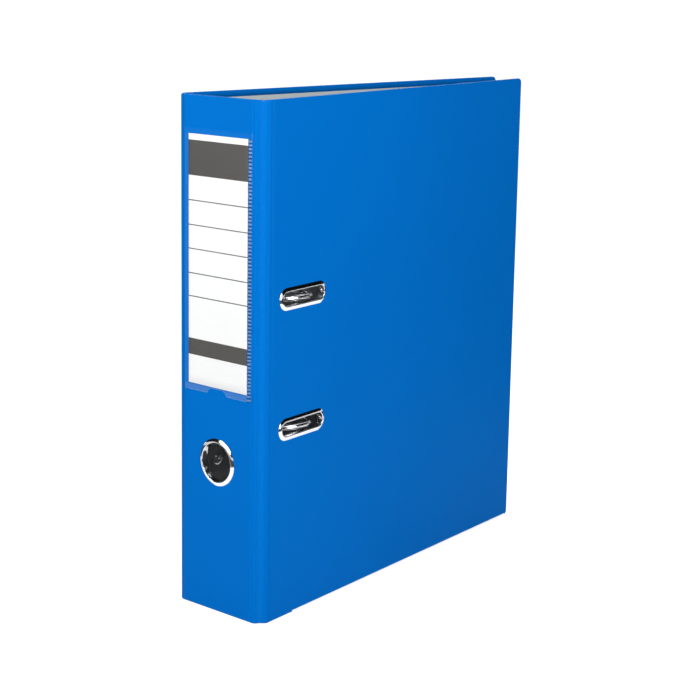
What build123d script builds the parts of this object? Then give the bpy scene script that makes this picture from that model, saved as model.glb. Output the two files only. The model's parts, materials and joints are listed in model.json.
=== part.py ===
# Lever arch file for A4 paper: a foil-covered board case with a riveted lever mechanism.
# Millimetres. X runs from the back cover to the front cover, Y from the spine to the
# fore-edge and Z up. The file stands on the metal shoes along the bottom of its covers.
import os
from math import cos, radians, sin, sqrt, tan

from build123d import *

os.makedirs("parts", exist_ok=True)

# Case, measured on the outer face of the foil between the creases
case_height = 318.0
cover_length = 286.0
spine_flat = 63.0
strip_width = 8.5
back_turn = 46.8        # degrees at each of the two creases beside the back cover
front_turn = 48.1       # degrees at each of the two creases beside the front cover
over_close = 1.5        # degrees that the front creases can close beyond that
corner_radius = 3.0

# Layers of a panel, from the outside in
foil_thickness = 0.3
board_thickness = 2.0
lining_thickness = 0.3
turn_in = 4.0           # foil folded over the inside edge, left bare by the lining
skin_room = 0.16        # room left at a crease between the skins, when folded
board_room = 0.3        # the same between boards, turn-ins and linings

# Metal shoe along the bottom edge of each cover
shoe_wall = 0.4
shoe_height = 1.8
shoe_start = 25.0       # from the crease
shoe_end_gap = 4.0      # from the fore-edge

# Eyelets: the slots that the arches reach into, and the finger hole in the spine
slot_near_room = 10.2   # slot end beyond the arch legs, on the spine side
slot_far_inset = 1.0    # slot end short of the posts, where the arch is already lower
slot_above = 1.8        # slot's middle above the arch's plane
slot_clearance = 0.5    # slot edge to wire
slot_rim = 2.6
finger_hole_diameter = 24.5
finger_rim = 3.0
finger_hole_height = 96.0
eyelet_wall = 0.5
eyelet_crown = 0.9      # rim height above the foil
eyelet_round = 0.6
washer_thickness = 0.5
lip_width = 0.8
lip_height = 0.4
eyelet_clearance = 0.1

# Label
pocket_side = 3.5       # pocket edge to crease
card_bottom = 142.0
card_top_margin = 23.0  # card to the top of the case
card_thickness = 0.3
pocket_border = 2.5     # welded margin beside and above the card
pocket_foot = 3.5       # open margin under the card
film_thickness = 0.25
pocket_clearance = 0.1
thumb_notch_width = 20.0
thumb_notch_rise = 2.5

# Mechanism
ring_pitch = 80.0       # standard distance of the two filing holes
ring_gap = 32.0         # arch leg to post
leg_line = 24.0         # arch legs, from the back crease
wire_diameter = 4.0
wire_bend = 5.0
crown_depth = 1.0       # the arches' crown lies this far under the front cover's face
crown_flat = 0.4        # straight wire left between the two bends of a crown
plate_overhang = 40.0   # plate beyond the rings, above and below
plate_beyond_legs = 7.0
plate_beyond_posts = 11.0
plate_thickness = 1.0
plate_corner = 6.0
shaft_room = 1.9        # shaft wire above the plate
lug_length = 10.0
lug_wall = 1.2
yoke_length = 27.0
tip_length = 2.0
tip_gap = 0.3
dish_depth = 0.6
post_diameter = 5.0
post_foot_diameter = 8.0
post_foot_height = 0.8
post_shank_diameter = 3.2
rivet_inset_z = 8.0     # rivets from the plate's ends
rivet_inset_y = 9.0     # and from its sides
rivet_diameter = 4.0
rivet_head_diameter = 9.0
rivet_head_height = 1.0
rivet_tail_diameter = 6.4
rivet_tail_height = 0.9
rounded_share = 0.8     # of a rivet's head or tail, from its top down
running_clearance = 0.05

# Lever
pivot_lift = 6.5        # pivot axis above the yoke wire
pivot_rise = 26.0       # pivot axis above the mechanism's middle
pivot_pin_diameter = 3.0
pivot_head_diameter = 4.6
pivot_head_height = 0.8
lever_width = 10.0
lever_sheet = 1.2
arm_width = 8.0
arm_sheet = 1.6
arm_room = 0.4          # long arm over the spring's eye
arm_rib = 1.0
rib_height = 2.0
arm_end = 75.0          # lever end below the mechanism's middle
tab_length = 20.0
tab_width = 12.0
tab_lift = 5.0
tab_round = 4.8
ear_thickness = 1.0
ear_gap = 0.3
ear_radius = 4.0
ear_foot = 11.0
ear_sink = 0.1          # feet run this far into the plate
roller_reach = 15.0
roller_diameter = 6.0
roller_pin_diameter = 2.4
roller_gap = 0.3        # roller to yoke, and roller to cheeks
cheek_radius = 2.4

# Leaf spring
spring_root = 48.0      # its pin below the mechanism's middle
spring_tip = 5.0        # its tip above the mechanism's middle
spring_width = 7.0
spring_sheet = 0.8
spring_eye_diameter = 3.6
spring_pin_diameter = 2.0
spring_gap = 0.3        # spring to plate, yoke and ears
spring_ear = 1.0

# Compressor bar and its two latches
bar_overhang = 22.0     # bar beyond the posts, above and below
bar_far = 11.0          # bar beyond the posts, towards the fore-edge
bar_margin = 0.1        # bar edge beyond its rails
bar_gap = 0.5           # bar edge to the lever's ears
bar_sheet = 1.2
bar_height = 4.4        # underside above the plate
bar_hole_clearance = 0.4
latch_web = 1.1
latch_sheet = 1.0
latch_travel = 4.0
latch_gap = 0.3
latch_margin = 3.0
latch_tab_height = 2.6
rail_width = 0.8
rail_lip = 0.6

# Worked out from the values above
case_thickness = foil_thickness + board_thickness + lining_thickness
lining_depth = foil_thickness + board_thickness
crease_slope = tan(radians(max(back_turn, front_turn + over_close) / 2))
skin_setback = foil_thickness * crease_slope + skin_room
board_setback = case_thickness * crease_slope + board_room
sheet_bottom = shoe_wall
plate_top = case_thickness + plate_thickness
wire_radius = wire_diameter / 2
post_line = leg_line + ring_gap
slot_mid = case_height / 2
mechanism_mid = slot_mid - slot_above
plate_near = leg_line - plate_beyond_legs
plate_width = plate_beyond_legs + ring_gap + plate_beyond_posts
plate_length = ring_pitch + 2 * plate_overhang
shaft_height = plate_top + shaft_room + wire_radius
spine_middle = spine_flat / 2
card_width = spine_flat - 2 * pocket_side - 2 * pocket_border
card_top = case_height - card_top_margin
ring_signs = {"upper": 1, "lower": -1}

# Panel frames: X along the case from the back cover's crease onwards, Y inwards, Z up
back_frame = Rot(0, 0, -90)
back_strip_frame = back_frame * Rot(0, 0, back_turn)
spine_frame = back_strip_frame * Pos(strip_width, 0, 0) * Rot(0, 0, back_turn)
front_strip_frame = spine_frame * Pos(spine_flat, 0, 0) * Rot(0, 0, front_turn)
front_frame = front_strip_frame * Pos(strip_width, 0, 0) * Rot(0, 0, front_turn)

# The arches are half circles. Their centre stands over the middle of legs and posts, as
# high as leaves crown_depth between their crown and the front cover's outer face.
arch_radius = ring_gap / 2
arch_centre_y = leg_line + arch_radius
front_corner = front_frame.position
front_lean = radians(2 * back_turn + 2 * front_turn - 180)
centre_depth = crown_depth + wire_radius + arch_radius
lean_run = (arch_centre_y - front_corner.Y) * sin(front_lean)
arch_centre_x = front_corner.X - (centre_depth + lean_run) / cos(front_lean)
crown_from_crease = (front_frame.inverse() * Pos(arch_centre_x, arch_centre_y, 0)).position.X
slot_length = 2 * arch_radius + slot_near_room - slot_far_inset
slot_centre = crown_from_crease - (slot_near_room + slot_far_inset) / 2
slot_height = wire_diameter + 2 * (slot_above + slot_clearance)
tip_centre_x = arch_centre_x - tip_length
dish_radius = wire_radius + tip_gap
post_top = tip_centre_x - dish_radius + dish_depth

# The bar keeps clear of the lever's ears, so these stand back from the posts
ear_inner = lever_width / 2 + ear_gap
ear_outer = ear_inner + ear_thickness
latch_width = post_diameter + 2 * (bar_hole_clearance + latch_web)
bar_near = latch_width / 2 + latch_gap + rail_width + bar_margin
lever_y = post_line - bar_near - bar_gap - ear_outer
yoke_top = shaft_height + wire_radius
pivot_x = yoke_top + pivot_lift
pivot_z = mechanism_mid + pivot_rise
roller_x = yoke_top + roller_gap + roller_diameter / 2
roller_z = pivot_z - sqrt(roller_reach**2 - (pivot_x - roller_x) ** 2)
spring_pin_x = plate_top + spring_gap + spring_eye_diameter / 2
spring_pin_z = mechanism_mid - spring_root
arm_low = spring_pin_x + spring_eye_diameter / 2 + arm_room
bar_length = ring_pitch + 2 * bar_overhang
bar_bottom = plate_top + bar_height
bar_top = bar_bottom + bar_sheet
latch_bottom = bar_top + latch_gap
latch_top = latch_bottom + latch_sheet
rail_top = latch_top + latch_gap + rail_lip
post_hole_radius = post_diameter / 2 + bar_hole_clearance


def block(x0, x1, y0, y1, z0, z1):
    return Pos(x0, y0, z0) * Box(x1 - x0, y1 - y0, z1 - z0, align=Align.MIN)


def prism_y(outline, y0, y1):
    # outline is drawn in X and Z
    return Pos(0, y0, 0) * extrude(Plane.XZ * outline, amount=y0 - y1)


def rod(radius, length):
    # stands on its own origin, along Z
    return Cylinder(radius, length, align=(Align.CENTER, Align.CENTER, Align.MIN))


def rod_x(radius, x0, x1, y, z):
    return Pos(x0, y, z) * Rot(0, 90, 0) * rod(radius, x1 - x0)


def rod_y(radius, y0, y1, x, z):
    return Pos(x, y0, z) * Rot(-90, 0, 0) * rod(radius, y1 - y0)


def round_corners(panel, radius):
    return fillet(panel.edges().filter_by(Axis.Y).group_by(Axis.X)[-1], radius)


# Case panels, each in its own panel frame
def board_core(start, end):
    bottom = sheet_bottom + foil_thickness
    return block(start, end, foil_thickness, lining_depth, bottom, case_height - foil_thickness)


def lining_sheet(start, end):
    return block(start, end, lining_depth, case_thickness, sheet_bottom + turn_in, case_height - turn_in)


def foil_sleeve(start, end, skin_start, skin_end):
    skin = block(skin_start, skin_end, 0, foil_thickness, sheet_bottom, case_height)
    return skin + block(start, end, 0, case_thickness, sheet_bottom, case_height)


def cover_board():
    core = board_core(board_setback, cover_length - foil_thickness)
    return round_corners(core, corner_radius - foil_thickness)


def cover_lining():
    return lining_sheet(board_setback, cover_length - turn_in)


def cover_foil():
    sleeve = foil_sleeve(board_setback, cover_length, skin_setback, cover_length)
    return round_corners(sleeve, corner_radius) - cover_board() - cover_lining()


def edge_shoe():
    end = cover_length - shoe_end_gap
    outside = block(shoe_start, end, -shoe_wall, case_thickness + shoe_wall, 0, shoe_height)
    outside = fillet(outside.edges().filter_by(Axis.X).group_by(Axis.Z)[0], shoe_wall / 2)
    return outside - block(shoe_start, end, 0, case_thickness, shoe_wall, shoe_height)


def inner_panel(length):
    # board, foil and lining of a panel with a crease at each end
    start = board_setback
    end = length - board_setback
    board = board_core(start, end)
    lining = lining_sheet(start, end)
    foil = foil_sleeve(start, end, skin_setback, length - skin_setback) - board - lining
    return board, foil, lining


def slot_opening(side):
    # middle, length and height of the opening for the upper or lower arch
    return slot_centre, slot_mid + side * ring_pitch / 2, slot_length, slot_height


def finger_opening():
    return spine_middle, finger_hole_height, finger_hole_diameter, finger_hole_diameter


def opening_prism(opening, margin, y0, y1):
    # the opening grown by margin on every side
    x, z, length, height = opening
    if length > height:
        shape = SlotOverall(length + 2 * margin, height + 2 * margin)
    else:
        shape = Circle(height / 2 + margin)
    return prism_y(Pos(x, z) * shape, y0, y1)


def eyelet(opening, rim):
    # rolled metal eyelet: rim outside, tube through the panel, lip over the washer inside
    lip_start = case_thickness + washer_thickness
    lip_end = lip_start + lip_height
    crown = opening_prism(opening, rim, -eyelet_crown, 0)
    crown -= opening_prism(opening, 0, -eyelet_crown, 0)
    crown = fillet(crown.edges().group_by(Axis.Y)[0], eyelet_round)
    tube = opening_prism(opening, eyelet_wall, 0, lip_end)
    tube += opening_prism(opening, lip_width, lip_start, lip_end)
    return crown + (tube - opening_prism(opening, 0, 0, lip_end))


def eyelet_washer(opening, rim):
    washer = opening_prism(opening, rim, case_thickness, case_thickness + washer_thickness)
    return washer - eyelet_hole(opening)


def eyelet_hole(opening):
    margin = eyelet_wall + eyelet_clearance
    return opening_prism(opening, margin, -eyelet_crown, 2 * case_thickness)


def label_card():
    low = spine_middle - card_width / 2
    face = -pocket_clearance - card_thickness
    return block(low, low + card_width, face, -pocket_clearance, card_bottom, card_top)


def label_pocket():
    half = card_width / 2 + pocket_border
    inner = card_width / 2 + 2 * pocket_clearance
    depth = card_thickness + 2 * pocket_clearance
    bottom = card_bottom - pocket_foot
    film = block(spine_middle - half, spine_middle + half, -depth - film_thickness, 0,
                 bottom, card_top + pocket_border)
    room = block(spine_middle - inner, spine_middle + inner, -depth, 0,
                 bottom, card_top + 2 * pocket_clearance)
    notch_radius = (thumb_notch_width**2 / 4 + thumb_notch_rise**2) / (2 * thumb_notch_rise)
    notch = Pos(spine_middle, bottom + thumb_notch_rise - notch_radius) * Circle(notch_radius)
    return film - room - prism_y(notch, -2 * depth, 0)


# Mechanism, in the frame of the back cover
def rivet_places():
    near = plate_near + rivet_inset_y
    far = plate_near + plate_width - rivet_inset_y
    reach = plate_length / 2 - rivet_inset_z
    return [(y, mechanism_mid + side * reach) for y in (near, far) for side in (-1, 1)]


def rivet_holes():
    radius = rivet_diameter / 2 + running_clearance
    return Compound([rod_x(radius, 0, plate_top, y, z) for y, z in rivet_places()])


def rivet(y, z):
    head = rod_x(rivet_head_diameter / 2, -rivet_head_height, 0, y, z)
    head = fillet(head.edges().group_by(Axis.X)[0], rivet_head_height * rounded_share)
    tail = rod_x(rivet_tail_diameter / 2, plate_top, plate_top + rivet_tail_height, y, z)
    tail = fillet(tail.edges().group_by(Axis.X)[-1], rivet_tail_height * rounded_share)
    return head + rod_x(rivet_diameter / 2, 0, plate_top, y, z) + tail


def pin_bore(pin_diameter, x, z):
    # across the lever, its ears and its cheeks
    radius = pin_diameter / 2 + running_clearance
    return rod_y(radius, lever_y - lever_width, lever_y + lever_width, x, z)


def shaft_lug(z0):
    # strap that holds the arch wire's shaft down on the plate
    outer = wire_radius + running_clearance + lug_wall
    strap = Pos(shaft_height, leg_line, z0) * rod(outer, lug_length)
    foot = block(plate_top, shaft_height, leg_line - outer, leg_line + outer, z0, z0 + lug_length)
    return strap + foot


def pivot_ear(y0):
    # upright of the plate that carries the lever's pin
    top = Pos(pivot_x, pivot_z) * Circle(ear_radius)
    foot = Pos(plate_top, pivot_z) * Rectangle(2 * ear_sink, ear_foot)
    return prism_y(make_hull(top.edges() + foot.edges()), y0, y0 + ear_thickness)


def spring_ears():
    outer = spring_width / 2 + spring_gap + spring_ear
    inner = spring_width / 2 + spring_gap
    radius = spring_eye_diameter / 2
    shape = rod_y(radius, lever_y - outer, lever_y + outer, spring_pin_x, spring_pin_z)
    shape += block(plate_top, spring_pin_x, lever_y - outer, lever_y + outer,
                   spring_pin_z - radius, spring_pin_z + radius)
    room = block(plate_top, 2 * spring_pin_x, lever_y - inner, lever_y + inner,
                 spring_pin_z - 2 * radius, spring_pin_z + 2 * radius)
    return shape - room


def base_plate():
    low = mechanism_mid - plate_length / 2
    plate = block(case_thickness, plate_top, plate_near, plate_near + plate_width,
                  low, low + plate_length)
    plate = fillet(plate.edges().filter_by(Axis.X), plate_corner)
    for side in ring_signs.values():
        outer_end = ring_pitch / 2 - wire_bend - lug_length / 2
        inner_end = yoke_length / 2 + wire_bend + lug_length / 2
        middle = mechanism_mid + side * (outer_end + inner_end) / 2
        plate += shaft_lug(middle - lug_length / 2)
        plate -= rod_x(post_shank_diameter / 2 + running_clearance, case_thickness, plate_top,
                       post_line, mechanism_mid + side * ring_pitch / 2)
    plate += pivot_ear(lever_y - ear_outer) + pivot_ear(lever_y + ear_inner)
    plate += spring_ears()
    shaft_bore = Cylinder(wire_radius + running_clearance, ring_pitch)
    plate -= Pos(shaft_height, leg_line, mechanism_mid) * shaft_bore
    plate -= pin_bore(pivot_pin_diameter, pivot_x, pivot_z)
    plate -= pin_bore(spring_pin_diameter, spring_pin_x, spring_pin_z)
    return plate - rivet_holes()


def post(side):
    z = mechanism_mid + side * ring_pitch / 2
    shape = rod_x(post_diameter / 2, plate_top, post_top, post_line, z)
    shape += rod_x(post_foot_diameter / 2, plate_top, plate_top + post_foot_height, post_line, z)
    shape += rod_x(post_shank_diameter / 2, case_thickness, plate_top, post_line, z)
    return shape - Pos(tip_centre_x, post_line, z) * Sphere(dish_radius)


def arch_wire():
    # one bent wire: arch, leg and shaft on each side of the yoke that the roller presses
    crown_x = arch_centre_x + arch_radius
    crown_bend = arch_radius - crown_flat / 2
    half = [
        (tip_centre_x, post_line, ring_pitch / 2),
        (crown_x, post_line, ring_pitch / 2),
        (crown_x, leg_line, ring_pitch / 2),
        (shaft_height, leg_line, ring_pitch / 2),
        (shaft_height, leg_line, yoke_length / 2),
        (shaft_height, lever_y, yoke_length / 2),
    ]
    points = half + [(x, y, -z) for x, y, z in reversed(half)]
    bends = [crown_bend, crown_bend, wire_bend, wire_bend, wire_bend]
    route = FilletPolyline(*points, radius=bends + bends[::-1])
    wire = sweep(Plane(origin=route @ 0, z_dir=route % 0) * Circle(wire_radius), path=route)
    for x, y, z in (points[0], points[-1]):
        wire += Pos(x, y, z) * Sphere(wire_radius)
    return Pos(0, 0, mechanism_mid) * wire


def arm_profile(points, thickness):
    # points run along the underside in X and Z; the sheet lies on the +X side of them
    upper = [(x + thickness, z) for x, z in reversed(points)]
    return make_face(Polyline(*points, *upper, close=True))


def lever():
    web_x = roller_x + roller_diameter / 2 + roller_gap
    pivot_web_x = pivot_x + pivot_pin_diameter / 2 + lever_sheet
    end_z = mechanism_mid - arm_end
    bend_z = end_z + tab_length
    top = (pivot_web_x, pivot_z + ear_radius)
    over_roller = (web_x, roller_z - roller_diameter)
    foot = (arm_low, mechanism_mid - yoke_length)
    bend = (arm_low, bend_z)
    tip = (arm_low + tab_lift, end_z)
    arm = prism_y(arm_profile([top, over_roller, foot, bend], arm_sheet),
                  lever_y - arm_width / 2, lever_y + arm_width / 2)
    tab = prism_y(arm_profile([bend, tip], arm_sheet),
                  lever_y - tab_width / 2, lever_y + tab_width / 2)
    tab = fillet(tab.edges().group_by(Axis.Z)[0].filter_by(Axis.X), tab_round)
    shape = arm + tab
    rib_line = [(x + arm_sheet, z) for x, z in (over_roller, foot, bend)]
    corners = [
        Pos(pivot_x, pivot_z) * Circle(ear_radius - ear_gap),
        Pos(roller_x, roller_z) * Circle(cheek_radius),
        Pos(web_x + arm_sheet / 2, roller_z - roller_diameter / 2) * Circle(arm_sheet / 2),
    ]
    cheek = make_hull([edge for corner in corners for edge in corner.edges()])
    for side in (-1, 1):
        rib_edge = lever_y + side * arm_width / 2
        ribs = sorted((rib_edge, rib_edge - side * arm_rib))
        shape += prism_y(arm_profile(rib_line, rib_height), *ribs)
        cheek_edge = lever_y + side * lever_width / 2
        cheeks = sorted((cheek_edge, cheek_edge - side * lever_sheet))
        shape += prism_y(cheek, *cheeks)
    shape -= pin_bore(pivot_pin_diameter, pivot_x, pivot_z)
    return shape - pin_bore(roller_pin_diameter, roller_x, roller_z)


def lever_pivot_pin():
    near = lever_y - ear_outer
    far = lever_y + ear_outer
    head = rod_y(pivot_head_diameter / 2, near - pivot_head_height, near, pivot_x, pivot_z)
    return head + rod_y(pivot_pin_diameter / 2, near, far, pivot_x, pivot_z)


def lever_roller():
    half = lever_width / 2 - lever_sheet - roller_gap
    roller = rod_y(roller_diameter / 2, lever_y - half, lever_y + half, roller_x, roller_z)
    return roller - pin_bore(roller_pin_diameter, roller_x, roller_z)


def roller_pin():
    half = lever_width / 2
    return rod_y(roller_pin_diameter / 2, lever_y - half, lever_y + half, roller_x, roller_z)


def leaf_spring():
    eye_radius = spring_eye_diameter / 2
    eye_bottom = spring_pin_x - eye_radius
    tip_x = shaft_height - wire_radius - spring_gap - spring_sheet
    yoke_start = mechanism_mid - yoke_length / 2 - wire_bend
    line = [(eye_bottom, spring_pin_z), (tip_x, yoke_start), (tip_x, mechanism_mid + spring_tip)]
    y0 = lever_y - spring_width / 2
    y1 = lever_y + spring_width / 2
    blade = prism_y(arm_profile(line, spring_sheet), y0, y1)
    eye = rod_y(eye_radius, y0, y1, spring_pin_x, spring_pin_z)
    return blade + eye - pin_bore(spring_pin_diameter, spring_pin_x, spring_pin_z)


def spring_pin():
    half = spring_width / 2 + spring_gap + spring_ear
    return rod_y(spring_pin_diameter / 2, lever_y - half, lever_y + half, spring_pin_x, spring_pin_z)


def compressor_bar():
    near = post_line - bar_near
    low = mechanism_mid - bar_length / 2
    bar = block(bar_bottom, bar_top, near, post_line + bar_far, low, low + bar_length)
    bar = fillet(bar.edges().filter_by(Axis.X), bar_near)
    for side in ring_signs.values():
        z = mechanism_mid + side * ring_pitch / 2
        bar -= rod_x(post_hole_radius, bar_bottom, bar_top, post_line, z)
        bar += latch_rails(z)
    return bar


def latch_rails(z):
    # two rails whose lips reach over the edges of the latch
    def across(half_width, x1):
        return block(bar_top, x1, post_line - half_width, post_line + half_width,
                     z - post_hole_radius, z + post_hole_radius)
    track = latch_width / 2 + latch_gap
    rails = across(track + rail_width, rail_top) - across(track, latch_top + latch_gap)
    return rails - across(latch_width / 2 - rail_lip, rail_top)


def latch(side):
    # slides up by latch_travel; its slot lets the post pass at both ends of the travel
    z = mechanism_mid + side * ring_pitch / 2
    low = z - post_hole_radius - latch_travel - latch_margin
    high = z + post_hole_radius + latch_margin
    half = latch_width / 2
    plate = block(latch_bottom, latch_top, post_line - half, post_line + half, low, high)
    tab = block(latch_top, latch_top + latch_tab_height, post_line - half, post_line + half,
                low, low + latch_sheet)
    slot_middle = z - latch_travel / 2
    slot = SlotOverall(latch_travel + 2 * post_hole_radius, 2 * post_hole_radius, rotation=90)
    cut = extrude(Plane.YZ * slot, amount=latch_sheet)
    return plate + tab - Pos(latch_bottom, post_line, slot_middle) * cut


def on_back(shape):
    # a cover drawn from its crease outwards, turned over to run back from the back crease
    return back_frame * mirror(shape, about=Plane.YZ)


def case_parts():
    parts = {}
    parts["back_board"] = on_back(cover_board()) - rivet_holes()
    parts["back_foil"] = on_back(cover_foil()) - rivet_holes()
    parts["back_lining"] = on_back(cover_lining()) - rivet_holes()
    parts["back_edge_shoe"] = on_back(edge_shoe())
    for name, frame in (("back_strip", back_strip_frame), ("front_strip", front_strip_frame)):
        board, foil, lining = inner_panel(strip_width)
        parts[name + "_board"] = frame * board
        parts[name + "_foil"] = frame * foil
        parts[name + "_lining"] = frame * lining
    board, foil, lining = inner_panel(spine_flat)
    finger_hole = eyelet_hole(finger_opening())
    parts["spine_board"] = spine_frame * (board - finger_hole)
    parts["spine_foil"] = spine_frame * (foil - finger_hole)
    parts["spine_lining"] = spine_frame * (lining - finger_hole)
    parts["finger_ring"] = spine_frame * eyelet(finger_opening(), finger_rim)
    parts["finger_ring_washer"] = spine_frame * eyelet_washer(finger_opening(), finger_rim)
    parts["label_card"] = spine_frame * label_card()
    parts["label_pocket"] = spine_frame * label_pocket()
    board, foil, lining = cover_board(), cover_foil(), cover_lining()
    for name, side in ring_signs.items():
        opening = slot_opening(side)
        hole = eyelet_hole(opening)
        board -= hole
        foil -= hole
        lining -= hole
        parts[name + "_slot_eyelet"] = front_frame * eyelet(opening, slot_rim)
        parts[name + "_slot_washer"] = front_frame * eyelet_washer(opening, slot_rim)
    parts["front_board"] = front_frame * board
    parts["front_foil"] = front_frame * foil
    parts["front_lining"] = front_frame * lining
    parts["front_edge_shoe"] = front_frame * edge_shoe()
    return parts


def mechanism_parts():
    parts = {
        "base_plate": base_plate(),
        "mechanism_rivets": Compound([rivet(y, z) for y, z in rivet_places()]),
        "arch_wire": arch_wire(),
        "lever": lever(),
        "lever_pivot_pin": lever_pivot_pin(),
        "lever_roller": lever_roller(),
        "roller_pin": roller_pin(),
        "leaf_spring": leaf_spring(),
        "spring_pin": spring_pin(),
        "compressor_bar": compressor_bar(),
    }
    for name, side in ring_signs.items():
        parts[name + "_post"] = post(side)
        parts[name + "_latch"] = latch(side)
    return parts


parts = {**case_parts(), **mechanism_parts()}

# The origin is the middle of the whole file's footprint, on the surface it stands on
whole = Compound(list(parts.values())).bounding_box()
origin = Vector((whole.min.X + whole.max.X) / 2, (whole.min.Y + whole.max.Y) / 2, whole.min.Z)
for name, shape in parts.items():
    export_step(Pos(*(-origin)) * shape, f"parts/{name}.step")
print("size", whole.size, "origin", origin)
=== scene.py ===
# Lever arch file: foil skins, hinge folds, papers, label, eyelets and mechanism round the CAD frame.
# Everything is in metres in the CAD's own frame; lengths in the dictionaries are in millimetres.
import json
import math

import bmesh
import bpy
import numpy as np
from mathutils import Matrix, Vector


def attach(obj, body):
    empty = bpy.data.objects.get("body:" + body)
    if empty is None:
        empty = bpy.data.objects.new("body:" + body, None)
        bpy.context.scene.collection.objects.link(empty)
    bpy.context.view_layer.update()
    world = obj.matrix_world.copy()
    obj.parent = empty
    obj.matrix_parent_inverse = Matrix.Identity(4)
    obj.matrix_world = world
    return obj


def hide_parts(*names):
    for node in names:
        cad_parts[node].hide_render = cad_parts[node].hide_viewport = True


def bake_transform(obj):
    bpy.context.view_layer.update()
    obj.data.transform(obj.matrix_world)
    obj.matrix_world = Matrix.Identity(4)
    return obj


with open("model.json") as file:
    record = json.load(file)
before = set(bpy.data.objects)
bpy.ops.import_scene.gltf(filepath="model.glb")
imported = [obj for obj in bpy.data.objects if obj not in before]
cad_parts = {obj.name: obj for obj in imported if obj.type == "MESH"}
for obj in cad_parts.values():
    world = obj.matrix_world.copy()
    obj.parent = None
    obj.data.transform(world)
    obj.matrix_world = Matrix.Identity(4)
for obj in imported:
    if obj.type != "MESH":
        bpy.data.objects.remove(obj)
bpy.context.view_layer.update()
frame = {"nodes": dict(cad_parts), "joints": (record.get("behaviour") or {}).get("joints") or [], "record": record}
print("frame loaded:", len(frame["nodes"]), "nodes")

mm = 0.001
joints = {joint["name"]: joint for joint in frame["joints"]}
nodes = frame["nodes"]


# the panels of the case, each with its crease end, direction and inward side
def turned(direction, degrees):
    # a plan direction turned anticlockwise, seen from above
    angle = math.radians(degrees)
    x, y = direction
    return np.array([x * math.cos(angle) - y * math.sin(angle),
                     x * math.sin(angle) + y * math.cos(angle)])


def creaseAt(jointName):
    return np.array(joints[jointName]["pos_m"][:2]) / mm


def panelBetween(start, end):
    length = np.linalg.norm(end - start)
    along = (end - start) / length
    return {"start": start, "along": along, "inward": turned(along, 90), "length": length}


creases = [creaseAt(name) for name in ("back_fold", "spine_fold", "front_fold", "front_cover_fold")]
panels = {
    "back": {"start": creases[0], "along": np.array([0.0, 1.0]), "inward": np.array([1.0, 0.0])},
    "backStrip": panelBetween(creases[0], creases[1]),
    "spine": panelBetween(creases[1], creases[2]),
    "frontStrip": panelBetween(creases[2], creases[3]),
}
frontAlong = turned(panels["frontStrip"]["along"], joints["front_cover_fold"]["range_deg"][1])
panels["front"] = {"start": creases[3], "along": frontAlong, "inward": turned(frontAlong, 90)}


def onPanel(panelName, points):
    # (x along the panel, depth inwards, height) in mm becomes a place in the CAD frame
    panel = panels[panelName]
    plan = (panel["start"] + points[..., 0:1] * panel["along"] + points[..., 1:2] * panel["inward"])
    return np.concatenate([plan, points[..., 2:3]], -1) * mm


def outwardOf(panelName):
    inward = panels[panelName]["inward"]
    return Vector((-inward[0], -inward[1], 0))


# mesh helpers
mergeDistance = 1e-6
thinnestEdge = 1e-7


def joined(*parts):
    # points from their coordinates; each may be an array or one value for all
    return np.stack(np.broadcast_arrays(*parts), -1)


def gridQuads(rows, columns, wrapRows=False, wrapColumns=False):
    # every cell of a grid of points, as four point numbers
    r, c = np.meshgrid(np.arange(rows - (not wrapRows)), np.arange(columns - (not wrapColumns)),
                       indexing="ij")
    rNext = (r + 1) % rows
    cNext = (c + 1) % columns
    corners = [r * columns + c, r * columns + cNext, rNext * columns + cNext, rNext * columns + c]
    return np.stack(corners, -1).reshape(-1, 4)


def gridPatch(points, wrapRows=False, wrapColumns=False):
    rows, columns = points.shape[:2]
    return points.reshape(-1, 3), gridQuads(rows, columns, wrapRows, wrapColumns)


def buildMesh(name, patches, facing=None, sharpAngle=35, attribute=None):
    # joins the patches, merges their shared points and turns every face outwards
    offsets = np.cumsum([0] + [len(points) for points, quads in patches])
    points = np.concatenate([p for p, q in patches])
    quads = np.concatenate([q + start for (p, q), start in zip(patches, offsets)])
    mesh = bpy.data.meshes.new(name)
    mesh.from_pydata(points.tolist(), [], quads.tolist())
    if attribute is not None:
        layer = mesh.attributes.new(attribute[0], "FLOAT", "POINT")
        layer.data.foreach_set("value", attribute[1].astype(np.float32))
    work = bmesh.new()
    work.from_mesh(mesh)
    bmesh.ops.remove_doubles(work, verts=work.verts, dist=mergeDistance)
    bmesh.ops.dissolve_degenerate(work, edges=work.edges, dist=thinnestEdge)
    bmesh.ops.recalc_face_normals(work, faces=work.faces)
    if facing is not None:
        largest = max(work.faces, key=lambda face: face.calc_area())
        if largest.normal.dot(facing) < 0:
            bmesh.ops.reverse_faces(work, faces=work.faces)
    work.to_mesh(mesh)
    work.free()
    mesh.shade_smooth()
    mesh.set_sharp_from_angle(angle=math.radians(sharpAngle))
    return mesh


def addObject(name, data):
    thing = bpy.data.objects.new(name, data)
    bpy.context.scene.collection.objects.link(thing)
    return thing


def addPiece(name, mesh, materials, wall=None):
    # puts the mesh in the scene; wall is a sheet's thickness, added on its inner side
    piece = addObject(name, mesh)
    for material in materials:
        mesh.materials.append(material)
    if wall:
        solidify = piece.modifiers.new("wall", "SOLIDIFY")
        solidify.thickness = wall * mm
        solidify.offset = -1
        solidify.use_even_offset = True
        bpy.context.view_layer.update()
        depsgraph = bpy.context.evaluated_depsgraph_get()
        made = bpy.data.meshes.new_from_object(piece.evaluated_get(depsgraph))
        piece.modifiers.clear()
        piece.data = made
        made.name = name
    return piece


def smoothStep(t):
    t = np.clip(t, 0, 1)
    return t * t * (3 - 2 * t)


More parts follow.
